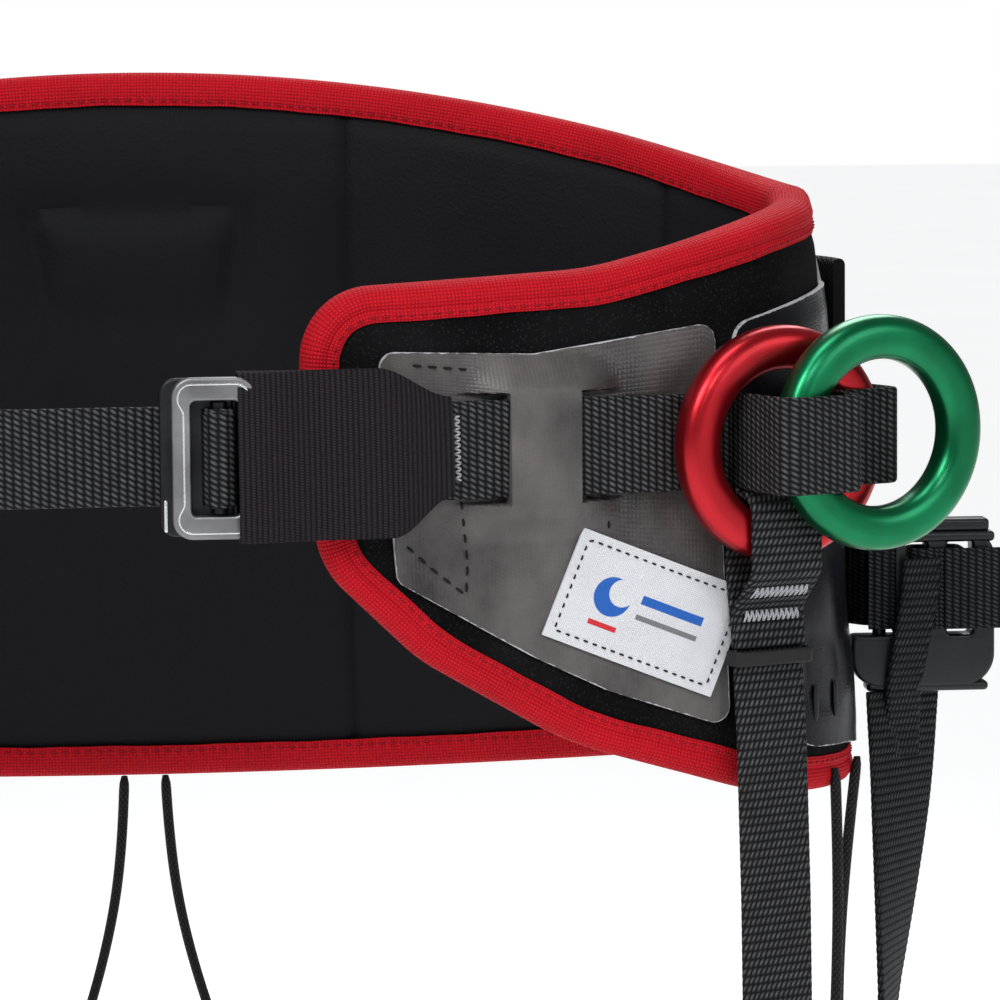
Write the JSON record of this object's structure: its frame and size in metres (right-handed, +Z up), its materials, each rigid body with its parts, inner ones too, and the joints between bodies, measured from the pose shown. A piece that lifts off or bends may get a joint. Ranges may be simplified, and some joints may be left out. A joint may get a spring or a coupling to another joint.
{
  "type": "tree climbing saddle",
  "caption": "Arborist climbing saddle: padded hip belt with load rings, a front buckle, side adjusters and padded leg loops hung on straps and elastic cords.",
  "frame": {"origin": "middle of the waist, level with the centreline of the belt webbing", "axes": "+X to the wearer's left, +Y to the wearer's back, +Z up"},
  "size_m": [0.4988, 0.2, 0.43],
  "materials": {
    "pad_foam": "closed-cell foam, hidden",
    "cover_felt": "brushed loop fabric, matte",
    "lining_cloth": "smooth brushed lining, faint sheen",
    "red_binding": "fine woven tape, matte",
    "webbing_black": "tight woven polyester",
    "webbing_charcoal": "chevron woven polyester",
    "gunmetal": "satin plated steel",
    "black_steel": "semi-gloss black coating",
    "bright_steel": "plain steel",
    "sleeve_elastic": "ribbed elastic",
    "label_cloth": "woven label with a stitched border",
    "grey_laminate": "coated fabric, semi-gloss",
    "black_laminate": "coated fabric, glossy",
    "keeper_rubber": "matte elastic band",
    "cord_black": "smooth sheathed elastic cord",
    "red_anodised": "glossy red anodised",
    "green_anodised": "glossy green anodised",
    "black_plastic": "moulded nylon",
    "thigh_cover": "brushed loop fabric, matte"
  },
  "bodies": {
    "hip_belt": {"pad_core": "pad_foam", "outer_cover": "cover_felt", "pad_lining": "lining_cloth", "edge_binding": "red_binding", "back_strap": "webbing_black", "belt_webbing_left": "webbing_charcoal", "belt_webbing_right": "webbing_charcoal", "buckle_front_frame": "gunmetal", "elastic_sleeve": "sleeve_elastic", "size_label": "label_cloth", "side_panel_left": "grey_laminate", "webbing_tunnel_left": "grey_laminate", "rear_panel_left": "black_laminate", "side_strap_left": "webbing_black", "leg_strap_left": "webbing_charcoal", "strap_keeper_left": "keeper_rubber", "leg_suspender_left": "webbing_black", "rear_cord_left": "cord_black", "side_cord_front_left": "cord_black", "side_cord_rear_left": "cord_black", "side_panel_right": "grey_laminate", "webbing_tunnel_right": "grey_laminate", "rear_panel_right": "black_laminate", "side_strap_right": "webbing_black", "leg_strap_right": "webbing_charcoal", "strap_keeper_right": "keeper_rubber", "leg_suspender_right": "webbing_black", "rear_cord_right": "cord_black", "side_cord_front_right": "cord_black", "side_cord_rear_right": "cord_black"},
    "buckle_slider": {"buckle_rear_frame": "black_steel", "buckle_bar": "bright_steel", "bar_wrap": "webbing_charcoal"},
    "red_ring_left": {"red_ring_left": "red_anodised"},
    "green_ring_left": {"green_ring_left": "green_anodised"},
    "adjuster_left": {"adjuster_left": "black_plastic", "adjuster_tail_left": "webbing_black"},
    "leg_left": {"thigh_pad_left": "thigh_cover", "thigh_binding_left": "red_binding", "thigh_webbing_left": "webbing_black"},
    "leg_buckle_left": {"leg_buckle_left": "gunmetal"},
    "red_ring_right": {"red_ring_right": "red_anodised"},
    "green_ring_right": {"green_ring_right": "green_anodised"},
    "adjuster_right": {"adjuster_right": "black_plastic", "adjuster_tail_right": "webbing_black"},
    "leg_right": {"thigh_pad_right": "thigh_cover", "thigh_binding_right": "red_binding", "thigh_webbing_right": "webbing_black"},
    "leg_buckle_right": {"leg_buckle_right": "gunmetal"}
  },
  "joints": [
    {"name": "buckle_slider_travel", "type": "slide", "parent": "hip_belt", "child": "buckle_slider", "axis": [-1, 0, 0], "range_m": [0, 0.0024]},
    {"name": "red_ring_left_spin", "type": "hinge", "parent": "hip_belt", "child": "red_ring_left", "pos_m": [0.1646, -0.069, -0.001], "axis": [0.4067, -0.9135, 0], "continuous": true},
    {"name": "green_ring_left_swing", "type": "hinge", "parent": "hip_belt", "child": "green_ring_left", "pos_m": [0.16721, -0.08163, 0.0015], "axis": [0, 0, -1], "range_deg": [0, 24]},
    {"name": "adjuster_left_tilt", "type": "hinge", "parent": "hip_belt", "child": "adjuster_left", "pos_m": [0.2035, 0.0085, -0.0485], "axis": [0, 0, 1], "range_deg": [-20, 20]},
    {"name": "leg_left_swing", "type": "hinge", "parent": "hip_belt", "child": "leg_left", "pos_m": [0.16237, -0.0689, -0.08], "axis": [-0.9135, -0.4067, 0], "range_deg": [0, 40], "stiffness_Nm_per_rad": 0.17, "springref_deg": -39.53, "deforming": ["leg_strap_left", "leg_suspender_left", "rear_cord_left", "side_cord_front_left", "side_cord_rear_left"]},
    {"name": "leg_buckle_left_tilt", "type": "hinge", "parent": "leg_left", "child": "leg_buckle_left", "pos_m": [0.04193, -0.07876, -0.29], "axis": [0, 0, -1], "range_deg": [0, 25]},
    {"name": "red_ring_right_spin", "type": "hinge", "parent": "hip_belt", "child": "red_ring_right", "pos_m": [-0.1646, -0.069, -0.001], "axis": [0.4067, 0.9135, 0], "continuous": true},
    {"name": "green_ring_right_swing", "type": "hinge", "parent": "hip_belt", "child": "green_ring_right", "pos_m": [-0.16721, -0.08163, 0.0015], "axis": [0, 0, 1], "range_deg": [0, 24]},
    {"name": "adjuster_right_tilt", "type": "hinge", "parent": "hip_belt", "child": "adjuster_right", "pos_m": [-0.2035, 0.0085, -0.0485], "axis": [0, 0, -1], "range_deg": [-20, 20]},
    {"name": "leg_right_swing", "type": "hinge", "parent": "hip_belt", "child": "leg_right", "pos_m": [-0.16237, -0.0689, -0.08], "axis": [-0.9135, 0.4067, 0], "range_deg": [0, 40], "stiffness_Nm_per_rad": 0.17, "springref_deg": -39.53, "deforming": ["leg_strap_right", "leg_suspender_right", "rear_cord_right", "side_cord_front_right", "side_cord_rear_right"]},
    {"name": "leg_buckle_right_tilt", "type": "hinge", "parent": "leg_right", "child": "leg_buckle_right", "pos_m": [-0.04193, -0.07876, -0.29], "axis": [0, 0, 1], "range_deg": [0, 25]}
  ]
}
